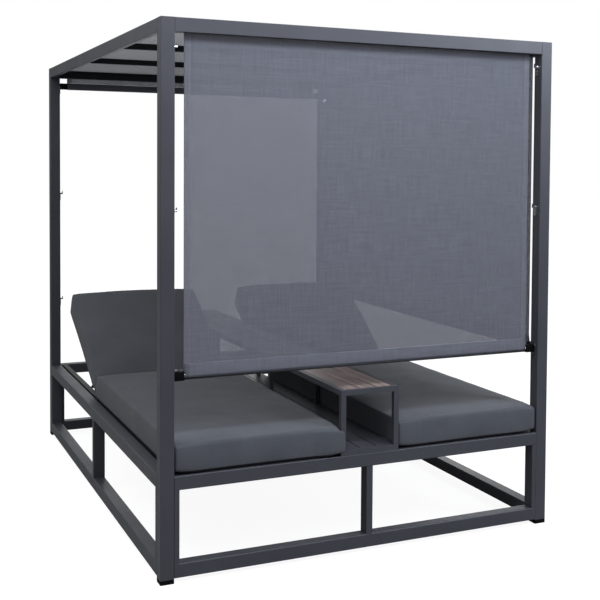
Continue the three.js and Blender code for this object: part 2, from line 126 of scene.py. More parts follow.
# Caps at the ends of a bar. Places count back from the bar's tip. Sizes are along and across it
cap_axis = 0.016
cap_height = 0.032
collar_at = 0.0275
collar_size = (0.02, 0.022)
collar_edge = 0.003
prong_at = 0.0095
prong_off = 0.0085
prong_size = (0.019, 0.005)
prong_edge = 0.0015
stub_tuck = 0.004
stub_until = 0.036
stub_radius = 0.006
washer_run = (0.0395, 0.0375)
washer_radius = 0.0085
washer_edge = 0.0004

# Rolled screen
roll_turns = 4
roll_sides = 56
roll_layer = 0.0015
roll_steps = 48
roll_swell = 0.012
roll_swell_scale = 7.0
roll_swell_seed = 2.0
core_inside = 0.008

# Screws of the hooks, two in each plate
screw_heights = (0.006, 0.02)
screw_plate = 0.0025
screw_head = 0.0018
screw_radius = 0.0032
screw_sides = 16

# Canopy: notches round the posts, sag between the beams, and the hem on its border
notch = 0.03
canopy_steps = (58, 94)
canopy_lift = 0.0008
canopy_lip = 0.014
canopy_ease = 0.2
sag = 0.0045
sag_uneven = 0.25
sag_scale = 2
hem_from = 0.0004
hem_to = 0.0016
hem_short = 0.001
hem_bevel = 0.0008

# Cushions, in their own frame: x across, y towards the head, z up from the support
voxels = {"seat": 0.008, "back": 0.007}
recline = math.radians(30)

# Ends that lean: where their place is read, as shares of the thickness
lean_at = (0.25, 0.75)
lean_bands = ((0.15, 0.35), (0.65, 0.85))

# Rounding of the solids, and what it becomes along x, y and z. A leaning foot keeps its own
cad_round = 0.026
sewn_round = (0.008, 0.018, 0.013)
squared_until = 0.049
foot_kept = 0.03
foot_free = 0.09

# Filling: a short cloth simulation between pinned seams
cushion_pressure = 4
cushion_frames = 20
cushion_cap = 0.01
pinned_within = 0.011
free_beyond = 0.024
tiny = 1e-9

# Form after the filling: fullness and spread at foot and head, bow of the head end forward and up,
# and room beyond the solid
fuller = {"seat": (1.075, 1.075), "back": (1.0, 1.2)}
fuller_run = (0.1, 0.5)
outer_spread = {"seat": (0.008, 0.008), "back": (0.0, 0.015)}
head_bow = {"seat": (0.0, 0.0), "back": (0.006, 0.009)}
outer_room = {"seat": 0.0095, "back": 0.015}
inner_room = 0.0006
foot_room = {"seat": 0.0115, "back": 0.002}
end_room = {"seat": 0.0012, "back": 0.012}
crown_room = {"seat": 0.009, "back": 0.032}
crown_give = 0.003
base_gap = 0.0002
# Height of the band of painted shade along each cushion's lower edge
under_shade_height = {"seat": 0.012, "back": 0.024}

# Corners of the seat cushions: the upper ones lifted, the lower ones dropped
corner_reach = 0.09
corner_depth = 0.05
corner_lift = 0.012
corner_drop = 0.006

# Swell of the left seat cushion past the console's leg. Both runs count from its inner side
lip_push = 0.0115
lip_run = (0.12, 0.03)
lip_depth = 0.03
lip_spread = 0.021
lip_spread_run = (0.045, 0.015)
lip_from = -1.1365
lip_step = 0.003

# Seams, puckers and wrinkles
seam_depth = 0.0014
seam_width = 0.005
seam_reach = 0.03
pucker_depth = 0.0005
pucker_length = 0.03
pucker_reach = 0.04
pucker_drift = 2
pucker_drift_scale = 23
wrinkle_depth = 0.0014
wrinkle_scales = (7, 17)
fine_wrinkles = 0.5
flat_base = 0.012

# Floor and sky
floor_half = 30
floor_seen = (0.95, 0.95, 0.95, 1)
floor_bounce = (0.27, 0.27, 0.275, 1)
floor_glow = 1.06
floor_glow_share = 0.87
sky_colour = (0.97, 0.985, 1.0, 1)
sky_rise = (-0.05, 0.7)
sky_low = 0.13
sky_high = 1.0
white = (1, 1, 1, 1)

# Lamps: place, target, size, watts, colour
lamps = {
    "front": ((0.1, -2.6, 3.3), (0.1, -1.1, 1.6), (2.6, 0.6), 100, (0.85, 0.9, 1.0)),
    "key": ((2.9, -3.6, 2.9), (0.8, -1.1, 2.0), (1.0, 1.0), 90, (0.8, 0.87, 1.0)),
    "side": ((-2.0, -1.1, 3.1), (-0.8, -0.8, 1.4), (1.4, 1.4), 52, (0.96, 0.98, 1.0)),
    "back": ((3.2, 7.0, 1.5), (0, 0, 0.8), (5.0, 2.4), 80, (1.0, 1.0, 1.0)),
    "right": ((4.2, 0.2, 1.3), (0.3, -0.4, 0.5), (2.4, 1.2), 95, (1.0, 1.0, 1.0)),
}

beds = ("left", "right")

# Each screen's side: the direction along it and the direction inwards
screens = {
    "front": (Vector((1, 0, 0)), Vector((0, 1, 0))),
    "right": (Vector((0, 1, 0)), Vector((-1, 0, 0))),
    "back": (Vector((-1, 0, 0)), Vector((0, -1, 0))),
}


def make_camera():
    flat = math.cos(camera_pitch)
    forward = Vector((math.sin(camera_yaw) * flat, math.cos(camera_yaw) * flat, math.sin(camera_pitch)))
    level = forward.cross(Vector((0, 0, 1))).normalized()
    above = level.cross(forward)
    c, s = math.cos(camera_roll), math.sin(camera_roll)
    right = c * level + s * above
    up = c * above - s * level
    data = bpy.data.cameras.new("camera")
    data.sensor_width = sensor_width
    data.lens = focal_pixels / image_side * sensor_width
    data.shift_x = -centre_right_pixels / image_side
    data.shift_y = centre_down_pixels / image_side
    data.clip_end = camera_range
    camera = bpy.data.objects.new("camera", data)
    turn = Matrix((right, up, -forward)).transposed()
    camera.matrix_world = Matrix.Translation(camera_place) @ turn.to_4x4()
    scene.collection.objects.link(camera)
    scene.camera = camera


make_camera()


# Nodes of materials
def add(tree, kind, inputs=None, **settings):
    """A new node with its settings. An input takes a value or a link from another node's socket."""
    made = tree.nodes.new(kind)
    for name, value in settings.items():
        setattr(made, name, value)
    for name, value in (inputs or {}).items():
        if isinstance(value, bpy.types.NodeSocket):
            tree.links.new(value, made.inputs[name])
        else:
            made.inputs[name].default_value = value
    return made


def math_node(tree, operation, a, b=0.0):
    return add(tree, "ShaderNodeMath", {0: a, 1: b}, operation=operation).outputs[0]


def mean_of(tree, a, b):
    return math_node(tree, "MULTIPLY", math_node(tree, "ADD", a, b), 0.5)


def mixed_values(tree, share, first, second):
    return add(tree, "ShaderNodeMix", {0: share, 2: first, 3: second}, data_type="FLOAT").outputs[0]


def mixed_colours(tree, share, first, second):
    return add(tree, "ShaderNodeMix", {0: share, 6: first, 7: second}, data_type="RGBA").outputs[2]


def mixed_shaders(tree, share, first, second):
    return add(tree, "ShaderNodeMixShader", {0: share, 1: first, 2: second}).outputs[0]


def mapped(tree, value, low, high, start=0.0, end=1.0):
    """The value, with start to end turned into low to high."""
    inputs = {"Value": value, "From Min": start, "From Max": end, "To Min": low, "To Max": high}
    return add(tree, "ShaderNodeMapRange", inputs).outputs["Result"]


def object_place(tree):
    return add(tree, "ShaderNodeTexCoord").outputs["Object"]


def axes_of(tree, place):
    return add(tree, "ShaderNodeSeparateXYZ", {"Vector": place}).outputs


def stretched(tree, place, scale):
    return add(tree, "ShaderNodeMapping", {"Vector": place, "Scale": scale}).outputs["Vector"]


def noise_at(tree, place, scale, detail=2.0):
    return add(tree, "ShaderNodeTexNoise", {"Vector": place, "Scale": scale, "Detail": detail}).outputs["Fac"]


def two_tones(tree, factor, dark, light, low=0.35, high=0.65):
    ramp = add(tree, "ShaderNodeValToRGB", {"Fac": factor})
    for stop, position, colour in zip(ramp.color_ramp.elements, (low, high), (dark, light)):
        stop.position = position
        stop.color = (*colour, 1)
    return ramp.outputs["Color"]


def shades(colour, share):
    return tuple(c * (1 - share) for c in colour), tuple(c * (1 + share) for c in colour)


def bump(tree, shader, height, distance, strength=1.0):
    made = add(tree, "ShaderNodeBump", {"Height": height, "Distance": distance, "Strength": strength})
    tree.links.new(made.outputs["Normal"], shader.inputs["Normal"])


def show_surface(tree, shader, output="Material Output"):
    tree.links.new(shader, tree.nodes[output].inputs["Surface"])


# Materials
def new_material(name, colour, roughness, metallic=0.0, specular=0.5):
    material = bpy.data.materials.new(name)
    material.use_nodes = True
    material.diffuse_color = (*colour, 1)
    shader = material.node_tree.nodes["Principled BSDF"]
    shader.inputs["Base Color"].default_value = (*colour, 1)
    shader.inputs["Roughness"].default_value = roughness
    shader.inputs["Metallic"].default_value = metallic
    shader.inputs["Specular IOR Level"].default_value = specular
    return material, material.node_tree, shader


def coated_metal(name, colour, roughness, grain, specular):
    """Powder coat: a fine orange peel, faint clouds of tone, and roughness that varies a little."""
    material, tree, shader = new_material(name, colour, roughness, specular=specular)
    place = object_place(tree)
    clouds = noise_at(tree, place, scale=5.0, detail=4.0)
    tree.links.new(two_tones(tree, clouds, *shades(colour, 0.07)), shader.inputs["Base Color"])
    smears = noise_at(tree, place, scale=11.0, detail=3.0)
    varied = mapped(tree, smears, roughness - 0.06, roughness + 0.06)
    tree.links.new(varied, shader.inputs["Roughness"])
    bump(tree, shader, noise_at(tree, place, scale=grain, detail=1.0), distance=0.00012)
    return material


def chromed():
    material, tree, shader = new_material("hook_chrome", chrome_colour, 0.14, metallic=1.0)
    smears = mapped(tree, noise_at(tree, object_place(tree), scale=60.0), 0.08, 0.26)
    tree.links.new(smears, shader.inputs["Roughness"])
    return material


def oiled_wood():
    """Slats, with the grain along y."""
    material, tree, shader = new_material("slat_wood", wood_light, 0.45)
    place = stretched(tree, object_place(tree), (90.0, 3.0, 60.0))
    grain = noise_at(tree, place, scale=1.0, detail=5.0)
    tone = two_tones(tree, grain, wood_dark, wood_light, low=0.3, high=0.6)
    tree.links.new(tone, shader.inputs["Base Color"])
    bump(tree, shader, grain, distance=0.0004, strength=0.6)
    return material


def cord(tree, place, pitch):
    """A cord every pitch along one axis, as a sine."""
    return math_node(tree, "SINE", math_node(tree, "MULTIPLY", place, math.pi / pitch))


def weave(tree, across, along, pitch):
    """Height of a plain weave, and the distance from the holes between its cords, from 0 to 1."""
    u, v = cord(tree, across, pitch), cord(tree, along, pitch)
    over = math_node(tree, "GREATER_THAN", math_node(tree, "MULTIPLY", u, v), 0.0)
    warp, weft = math_node(tree, "ABSOLUTE", u), math_node(tree, "ABSOLUTE", v)
    return mixed_values(tree, over, weft, warp), math_node(tree, "MINIMUM", warp, weft)


def open_cloth(name, colour, see_through, glow):
    """Coated mesh cloth, on a map in metres: what is behind it shows through a little, and it glows
    when lit from behind."""
    material, tree, shader = new_material(name, colour, 0.85, specular=0.25)
    place = add(tree, "ShaderNodeUVMap", uv_map="flat").outputs["UV"]
    axes = axes_of(tree, place)
    height, gap = weave(tree, axes["X"], axes["Y"], screen_yarn)
    streaks, slubs = (noise_at(tree, stretched(tree, place, scale), scale=1.0, detail=3.0)
                      for scale in ((150.0, 9.0, 1.0), (9.0, 150.0, 1.0)))
    mottle = mean_of(tree, streaks, slubs)
    tone = two_tones(tree, mottle, *shades(colour, 0.1), low=0.38, high=0.62)
    tree.links.new(tone, shader.inputs["Base Color"])
    bump(tree, shader, height, distance=0.00035, strength=0.6)
    lit_behind = add(tree, "ShaderNodeBsdfTranslucent", {"Color": tone})
    body = mixed_shaders(tree, glow, shader.outputs[0], lit_behind.outputs[0])
    hole = math_node(tree, "LESS_THAN", gap, see_through)
    clear = add(tree, "ShaderNodeBsdfTransparent")
    show_surface(tree, mixed_shaders(tree, hole, body, clear.outputs[0]))
    return material


def closed_cloth(name, colour, pitch, shade_top):
    """Woven upholstery, with cords along all three axes of the piece, and painted shade: black below the given
    height, for the shadow line along its lower edge.
    """
    material, tree, shader = new_material(name, colour, 0.9, specular=0.12)
    shader.inputs["Sheen Weight"].default_value = 0.07
    shader.inputs["Sheen Roughness"].default_value = 0.5
    place = object_place(tree)
    axes = axes_of(tree, place)
    x, y, z = (cord(tree, axes[k], pitch) for k in "XYZ")
    pairs = [math_node(tree, "MULTIPLY", a, b) for a, b in ((x, y), (y, z), (z, x))]
    cords = math_node(tree, "ADD", math_node(tree, "ADD", pairs[0], pairs[1]), pairs[2])
    flecks = noise_at(tree, place, scale=260.0, detail=2.0)
    clouds = noise_at(tree, place, scale=7.0, detail=3.0)
    mottle = mean_of(tree, flecks, clouds)
    tone = two_tones(tree, mottle, *shades(colour, 0.1), low=0.38, high=0.62)
    # Painted shade: below the given height the cloth is black, for the shadow under the cushion
    above = math_node(tree, "GREATER_THAN", axes["Z"], shade_top)
    tree.links.new(mixed_colours(tree, above, (*under_shade_colour, 1), tone), shader.inputs["Base Color"])
    bump(tree, shader, math_node(tree, "ADD", cords, flecks), distance=0.00025, strength=0.5)
    return material


paint = coated_metal("anthracite_paint", paint_colour, roughness=0.45, grain=900.0, specular=0.5)
black_metal = coated_metal("black_paint", black_colour, roughness=0.55, grain=900.0, specular=0.25)
plastic = coated_metal("black_plastic", plastic_colour, roughness=0.6, grain=500.0, specular=0.06)
chrome = chromed()
wood = oiled_wood()
screen_cloth = open_cloth("screen_mesh", screen_colour, see_through=0.036, glow=0.3)
side_hem_cloth = open_cloth("side_hem_mesh", side_hem_colour, see_through=0.3, glow=0.3)
hem_cloth = open_cloth("hem_mesh", tuple(c * 1.05 for c in screen_colour), see_through=0.0, glow=0.25)
roof_cloth = open_cloth("canopy_mesh", canopy_colour, see_through=0.01, glow=0.45)

node_materials = {
    "post_": paint,
    "foot_": plastic,
    "base_frame_": paint,
    "top_rail_": paint,
    "roof_beam_": black_metal,
    "console_frame": paint,
    "console_slat_": wood,
    "left_deck": black_metal,
    "right_deck": black_metal,
    "left_backrest_frame": black_metal,
    "right_backrest_frame": black_metal,
    "left_stay": black_metal,
    "right_stay": black_metal,
}


def dress_nodes():
    for name, node in frame["nodes"].items():
        material = next((m for start, m in node_materials.items() if name.startswith(start)), None)
        if "_hook_" in name:
            material = chrome
        elif name.endswith("_head_strip"):
            material = black_metal
        if material:
            node.data.materials.clear()
            node.data.materials.append(material)


dress_nodes()


# Mesh helpers
def evenly(low, high, steps):
    return [low + (high - low) * i / steps for i in range(steps + 1)]


def between(first, second, share):
    return first + (second - first) * share


def eased(share):
    return share * share * (3 - 2 * share)


def run_along(path):
    """The length along a path of points (a, b) up to each of them."""
    run = [0.0]
    for (a0, b0), (a1, b1) in zip(path, path[1:]):
        run.append(run[-1] + math.hypot(a1 - a0, b1 - b0))
    return run


def linked(name, mesh):
    made = bpy.data.objects.new(name, mesh)
    scene.collection.objects.link(made)
    return made


def smooth_shaded(mesh):
    mesh.polygons.foreach_set("use_smooth", [True] * len(mesh.polygons))


def piece(name, vertices, faces, material, uv=None):
    mesh = bpy.data.meshes.new(name)
    mesh.from_pydata([tuple(v) for v in vertices], [], faces)
    mesh.materials.append(material)
    if uv is not None:
        layer = mesh.uv_layers.new(name="flat")
        for loop in mesh.loops:
            layer.data[loop.index].uv = uv[loop.vertex_index]
    smooth_shaded(mesh)
    return linked(name, mesh)


def grid_faces(columns, rows, closed=False):
    faces = []
    for j in range(rows - 1):
        for i in range(columns if closed else columns - 1):
            k = (i + 1) % columns
            faces.append((j * columns + i, j * columns + k, (j + 1) * columns + k, (j + 1) * columns + i))
    return faces


def tube_faces(columns, rows):
    """Faces of a closed tube of rings, with a face at each end."""
    ends = [tuple(reversed(range(columns))), tuple(range((rows - 1) * columns, rows * columns))]
    return grid_faces(columns, rows, True) + ends


def swept_profile(name, profile, rows, place, material, closed=True):
    """A profile of points (n, z) carried along u. place gives the point of (u, n, z)."""
    vertices = [place(u, n, z) for u in rows for n, z in profile]
    faces = (tube_faces if closed else grid_faces)(len(profile), len(rows))
    run = run_along(profile)
    return piece(name, vertices, faces, material, [(u, v) for u in rows for v in run])


def mend_normals(made):
    solid = bmesh.new()
    solid.from_mesh(made.data)
    bmesh.ops.recalc_face_normals(solid, faces=solid.faces)
    solid.to_mesh(made.data)
    solid.free()


def joined(name, parts):
    bpy.ops.object.select_all(action="DESELECT")
    for part in parts:
        part.select_set(True)
    bpy.context.view_layer.objects.active = parts[0]
    bpy.ops.object.join()
    parts[0].name = name
    return parts[0]


def rounded_block(name, centre, size, edge, material):
    mesh = bpy.data.meshes.new(name)
    solid = bmesh.new()
    bmesh.ops.create_cube(solid, size=1.0)
    bmesh.ops.scale(solid, vec=size, verts=solid.verts)
    bmesh.ops.bevel(solid, geom=solid.edges[:], offset=edge, segments=3, affect="EDGES", profile=0.5)
    bmesh.ops.translate(solid, vec=centre, verts=solid.verts)
    solid.to_mesh(mesh)
    solid.free()
    mesh.materials.append(material)
    smooth_shaded(mesh)
    mesh.set_sharp_from_angle(angle=sharp_angle)
    return linked(name, mesh)


def rod(name, start, end, radius, material, edge=0.0006, sides=28):
    """A turned rod with chamfered ends."""
    axis = Vector(end) - Vector(start)
    turn = axis.to_track_quat("Z", "Y").to_matrix()
    stations = [(0, radius - edge), (edge, radius), (axis.length - edge, radius), (axis.length, radius - edge)]
    vertices = []
    for along, r in stations:
        for i in range(sides):
            angle = 2 * math.pi * i / sides
            local = Vector((r * math.cos(angle), r * math.sin(angle), along))
            vertices.append(Vector(start) + turn @ local)
    made = piece(name, vertices, tube_faces(sides, len(stations)), material)
    made.data.set_sharp_from_angle(angle=sharp_angle)
    return made


# Screens
class Side:
    """One side of the daybed: u runs along it, n inwards from the middle of its cloth, z up."""

    def __init__(self, name):
        self.name = name
        self.along, self.inward = screens[name]
        low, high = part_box(f"{name}_screen_cloth")
        self.middle = (low + high) / 2
        self.half = abs((high - low).dot(self.along)) / 2
        self.low = low.z
        self.high = high.z
        bar_low, bar_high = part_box(f"{name}_screen_bar")
        self.bar_half = abs((bar_high - bar_low).dot(self.along)) / 2
        self.bar_low = bar_low.z
        self.bar_high = bar_high.z
        self.body = f"{name}_screen"
        joint = next(j for j in frame["joints"] if j["child"] == self.body)
        self.joint = joint["name"]
        self.travel = joint["range_m"][1]

    def place(self, u, n, z):
        point = self.middle + self.along * u + self.inward * n
        return Vector((point.x, point.y, z))

    def unrolled(self, z):
        """Where the cloth at height z hangs once the bar is down."""
        if self.name != "back":
            return z
        return z - self.travel * eased((self.high - z) / (self.high - self.low))

    def bend(self, cloth):
        """Bakes the back cloth's place into its mesh, and fixes each other cloth to the frame with a mesh of
        its own."""
        head = self.place(0, 0, self.high)
        if self.name == "back":
            self.place(0, 0, self.low)
            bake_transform(cloth)
        else:
            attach(cloth, "frame")
            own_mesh(cloth)


def wave(side, u, z):
    """How far the hung cloth leaves its plane: soft long waves that die out at its edges."""
    ease_u, ease_z = wave_ease
    share_u = min(1.0, (side.half - abs(u)) / ease_u)
    share_z = min(1.0, max(0.0, (side.high - z) / ease_z), max(0.0, (z - side.low) / ease_z))
    soft = noise.noise(Vector((u * soft_wave[0], z * soft_wave[1], soft_seed[side.name])))
    fine = noise.noise(Vector((u * fine_wave[0], z * fine_wave[1], fine_seed)))
    return wave_height * (soft + fine_share * fine) * share_u * share_z


def hung_cloth(side):
    """The cloth with its side hems: one sheet, folded over on itself along both side edges."""
    columns, rows = screen_steps
    half = side.half
    fold = [(u - half, -hem_lift) for u in (side_hem, side_hem / 2, fold_turn)] + [(-half, -hem_lift / 2)]
    flat = [(u, 0.0) for u in evenly(fold_turn / 2 - half, half - fold_turn / 2, columns)]
    path = fold + flat + [(-u, n) for u, n in reversed(fold)]
    run = run_along(path)
    levels = evenly(side.low, side.high, rows)
    vertices = [side.place(u, n + wave(side, u, z), z) for z in levels for u, n in path]
    uv = [(r, side.unrolled(z)) for z in levels for r in run]
    cloth = piece(f"{side.name}_screen_sheet", vertices, grid_faces(len(path), len(levels)), screen_cloth, uv)
    cloth.data.materials.append(side_hem_cloth)
    folded = len(fold) - 1
    per_row = len(path) - 1
    for face in cloth.data.polygons:
        column = face.index % per_row
        if column < folded or column >= per_row - folded:
            face.material_index = 1
    side.bend(cloth)
    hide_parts(f"{side.name}_screen_cloth")


def end_caps(side, axis_z):
    """The stubs, washers and forked caps at both ends of a bar."""
    def block(name, centre, size, edge):
        reach = side.along * size[0] + side.inward * size[1]
        return rounded_block(name, centre, Vector((abs(reach.x), abs(reach.y), cap_height)), edge, plastic)

    def at(back, n=0.0):
        return side.place(end * (side.bar_half - back), n, axis_z)

    parts = []
    for end in (-1, 1):
        parts.append(block("collar", at(collar_at), collar_size, collar_edge))
        for n in (-prong_off, prong_off):
            parts.append(block("prong", at(prong_at, n), prong_size, prong_edge))
        inner = side.place(end * (side.half - stub_tuck), 0, axis_z)
        parts.append(rod("stub", inner, at(stub_until), stub_radius, black_metal))
        ring, ring_end = (at(back) for back in washer_run)
        parts.append(rod("washer", ring, ring_end, washer_radius, chrome, washer_edge))
    return parts


def mount_bar(side, wrap, bar, axis_z):
    """Gives the bar its caps, and lets it and the cloth wrapped round it ride on the screen's body."""
    hardware = joined(f"{side.name}_bar_ends", [bar, *end_caps(side, axis_z)])
    for made in (wrap, hardware):
        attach(made, side.body)
    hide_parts(f"{side.name}_screen_bar")


def lowered_bar(side):
    """The hem pocket round a flat bar, with the bar's dark edge showing under it."""
    low, top = side.bar_low + bar_rise, side.bar_high
    thick = pocket_thick / 2
    outer = [(-thick, low + bar_line), *((-thick * share, low + rise) for share, rise in pocket_form)]
    outer += [(-hem_lift - sewn_bulge, top - sewn_gap), (-hem_lift, top)]
    inner = [(-n, z) for n, z in reversed(outer)]
    rows = evenly(-side.half, side.half, pocket_steps)
    pocket = swept_profile(f"{side.name}_hem_pocket", outer + inner, rows, side.place, hem_cloth)
    profile = []
    for i in range(bar_sides):
        angle = 2 * math.pi * i / bar_sides
        n, z = (math.copysign(abs(f) ** bar_squareness, f) for f in (math.cos(angle), math.sin(angle)))
        profile.append((bar_thick / 2 * n, low + bar_line / 2 + bar_line / 2 * z))
    bar = swept_profile("bar", profile, [-side.half, side.half], side.place, black_metal)
    mount_bar(side, pocket, bar, side.bar_low + cap_axis)


def rolled_bar(side):
    """The back screen, wound up on its bar under the roof."""
    axis_z = (side.bar_low + side.bar_high) / 2
    radius = (side.bar_high - side.bar_low) / 2
    steps = roll_sides * roll_turns
    spiral = []
    for i in range(steps + 1):
        angle = 2 * math.pi * roll_turns * i / steps
        r = radius - roll_layer * (roll_turns - roll_turns * i / steps)
        spiral.append((r * math.sin(angle), axis_z + r * math.cos(angle)))

    def uneven(u, n, z):
        swell = 1 + roll_swell * noise.noise(Vector((u * roll_swell_scale, 0, roll_swell_seed)))
        return side.place(u, n * swell, axis_z + (z - axis_z) * swell)

    rows = evenly(-side.half, side.half, roll_steps)
    roll = swept_profile(f"{side.name}_roll", spiral, rows, uneven, hem_cloth, closed=False)
    ends = [side.place(u, 0, axis_z) for u in (-side.half, side.half)]
    mount_bar(side, roll, rod("core", *ends, radius - core_inside, black_metal), axis_z)


def hang_screens():
    for name in screens:
        side = Side(name)
        hung_cloth(side)
        if name == "back":
            rolled_bar(side)
        else:
            lowered_bar(side)


hang_screens()


def hook_screws():
    """Two small screws in each hook's plate."""
    for name, (along, _) in screens.items():
        parts = []
        for node in (n for n in frame["nodes"] if n.startswith(f"{name}_screen_hook_")):
            low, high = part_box(node)
            middle = (low + high) / 2
            towards = -1 if middle.dot(along) > 0 else 1
            wall = max(abs(low.dot(along)), abs(high.dot(along)))
            for rise in screw_heights:
                start = middle - along * middle.dot(along) - towards * along * (wall - screw_plate)
                end = start + towards * along * screw_head
                start.z = end.z = low.z + rise
                parts.append(rod("screw", start, end, screw_radius, chrome, sides=screw_sides))
        screws = joined(f"{name}_hook_screws", parts)
        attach(screws, "frame")


hook_screws()


# Canopy
def notched(low, high, steps):
    """Grid lines from low to high, with one at the edge of each notch."""
    return [low, *evenly(low + notch, high - notch, steps), high]


def canopy_sheet(low, high, level):
    """The stretched cloth, which sags a little between its four supports."""
    beams = sorted(sum(corner.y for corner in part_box(f"roof_beam_{i}")) / 2 for i in (1, 2))
    stops = [low.y, *beams, high.y]
    xs = notched(low.x, high.x, canopy_steps[0])
    ys = notched(low.y, high.y, canopy_steps[1])
    corners = {(i, j) for i in (0, len(xs) - 1) for j in (0, len(ys) - 1)}
    index = {}
    vertices = []
    for j, y in enumerate(ys):
        bay = next(i for i in range(3) if y <= stops[i + 1] + 1e-6)
        share = (y - stops[bay]) / (stops[bay + 1] - stops[bay])
        for i, x in enumerate(xs):
            if (i, j) in corners:
                continue
            reach = min(1.0, max(0.0, min(x - low.x, high.x - x) - canopy_lip) / canopy_ease)
            drop = sag * math.sin(math.pi * share) * reach
            drop *= 1 + sag_uneven * noise.noise(Vector((x * sag_scale, y * sag_scale, 1)))
            index[i, j] = len(vertices)
            vertices.append((x, y, level - drop))
    faces = []
    for j in range(len(ys) - 1):
        for i in range(len(xs) - 1):
            ring = [(i, j), (i + 1, j), (i + 1, j + 1), (i, j + 1)]
            if not corners.intersection(ring):
                faces.append(tuple(index[c] for c in ring))
    return piece("canopy_sheet", vertices, faces, roof_cloth, [(v[0], v[1]) for v in vertices])


def canopy_border(across, along, level):
    """The hem along the four sides, doubled on top of the sheet."""
    bottom, top = level + hem_from, level + hem_to
    places = (lambda u, n, z: (n, u, z)), (lambda u, n, z: (u, n, z))
    strips = []
    for end in (-1, 1):
        for place, half, reach in zip(places, (across / 2, along / 2), (along / 2, across / 2)):
            outer, inner = end * half, end * (half - notch + hem_short)
            profile = [(outer, bottom), (outer, top), (inner + end * hem_bevel, top),
                       (inner, (top + bottom) / 2), (inner, bottom)]
            rows = [-reach + notch, reach - notch]
            strips.append(swept_profile("strip", profile, rows, place, hem_cloth))
    return joined("canopy_hem", strips)


def roof():
    low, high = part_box("canopy")
    level = low.z + canopy_lift
    across, along = high.x - low.x, high.y - low.y
    sheet = canopy_sheet(low, high, level)
    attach(sheet, "frame")
    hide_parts("canopy")
    border = canopy_border(across, along, level)
    mend_normals(border)
    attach(border, "frame")


roof()


# Cushions
def rising(values, start, end):
    """From 0 at start to 1 at end, and level beyond them. start may be the larger of the two."""
    return np.clip((values - start) / (end - start), 0, 1)


def vertex_values(mesh, name="co"):
    flat = np.zeros(len(mesh.vertices) * 3)
    mesh.vertices.foreach_get(name, flat)
    return flat.reshape(-1, 3)


def move_points(mesh, co):
    mesh.vertices.foreach_set("co", co.ravel())
    mesh.update()


def applied(made):
    graph = bpy.context.evaluated_depsgraph_get()
    final = bpy.data.meshes.new_from_object(made.evaluated_get(graph))
    made.modifiers.clear()
    old = made.data
    made.data = final
    bpy.data.meshes.remove(old)


def local_points(node, matrix):
    mesh = frame["nodes"][node].data
    inverse = matrix.inverted()
    points = np.array([inverse @ v.co for v in mesh.vertices])
    faces = [tuple(p.vertices) for p in mesh.polygons]
    return points, faces


def remeshed(name, points, faces, voxel):
    """The solid, as an even mesh of quads."""
    mesh = bpy.data.meshes.new(name)
    mesh.from_pydata(points.tolist(), [], faces)
    solid = bmesh.new()
    solid.from_mesh(mesh)
    bmesh.ops.remove_doubles(solid, verts=solid.verts, dist=weld_distance)
    bmesh.ops.recalc_face_normals(solid, faces=solid.faces)
    solid.to_mesh(mesh)
    solid.free()
    made = linked(name, mesh)
    shape = made.modifiers.new("shape", "REMESH")
    shape.mode = "VOXEL"
    shape.voxel_size = voxel
    soften = made.modifiers.new("soften", "SMOOTH")
    soften.factor = 0.5
    soften.iterations = 3
    applied(made)
    return made


def ends_lean(co, low, high):
    """y of the foot and of the head end at both heights of lean_at, in the middle third."""
    middle, half = (low + high) / 2, (high - low) / 2
    share = (co[:, 2] - low[2]) / (high[2] - low[2])
    inner = np.abs(co[:, 0] - middle[0]) < half[0] / 3
    bands = [inner & (share > a) & (share < b) for a, b in lean_bands]
    return [[pick(co[band, 1]) for band in bands] for pick in (np.min, np.max)]


def ends_at(co, low, high, lean):
    """y of the foot and of the head end at the height of each point."""
    height = (co[:, 2] - low[2]) / (high[2] - low[2])
    share = (height - lean_at[0]) / (lean_at[1] - lean_at[0])
    return [between(a, b, share) for a, b in lean]


def off_faces(co, low, high):
    """How far each point lies inside the sides, the ends, the upper face and the lower face."""
    foot, head = ends_at(co, low, high, ends_lean(co, low, high))
    side = (high[0] - low[0]) / 2 - np.abs(co[:, 0] - (low[0] + high[0]) / 2)
    end = np.minimum(co[:, 1] - foot, head - co[:, 1])
    return [np.maximum(values, 0) for values in (side, end, high[2] - co[:, 2], co[:, 2] - low[2])]


def closer(off, axis):
    """The distance from a face, with the rounding of the solid brought down to the sewn one."""
    sewn = sewn_round[axis]
    near = off * sewn / cad_round
    beyond = sewn + (off - cad_round) * (squared_until - sewn) / (squared_until - cad_round)
    return np.select([off < 0, off < cad_round, off < squared_until], [off, near, beyond], off)


def squared(co, low, high, leaning_foot):
    """Sharpens the rounding of all edges by sliding points along the faces towards them."""
    lean = ends_lean(co, low, high)
    middle, half = (low + high) / 2, (high - low) / 2
    foot, head = ends_at(co, low, high, lean)
    from_foot, from_head = co[:, 1] - foot, head - co[:, 1]
    moved = co.copy()
    across = co[:, 0] - middle[0]
    moved[:, 0] = middle[0] + np.sign(across) * (half[0] - closer(half[0] - np.abs(across), 0))
    above, below = high[2] - closer(high[2] - co[:, 2], 2), low[2] + closer(co[:, 2] - low[2], 2)
    moved[:, 2] = np.where(co[:, 2] > middle[2], above, below)
    foot, head = ends_at(moved, low, high, lean)
    moved[:, 1] = np.where(from_head < squared_until, head - closer(from_head, 1), moved[:, 1])
    if leaning_foot:
        return between(moved, co, rising(from_foot, foot_free, foot_kept)[:, None])
    moved[:, 1] = np.where(from_foot < squared_until, foot + closer(from_foot, 1), moved[:, 1])
    return moved


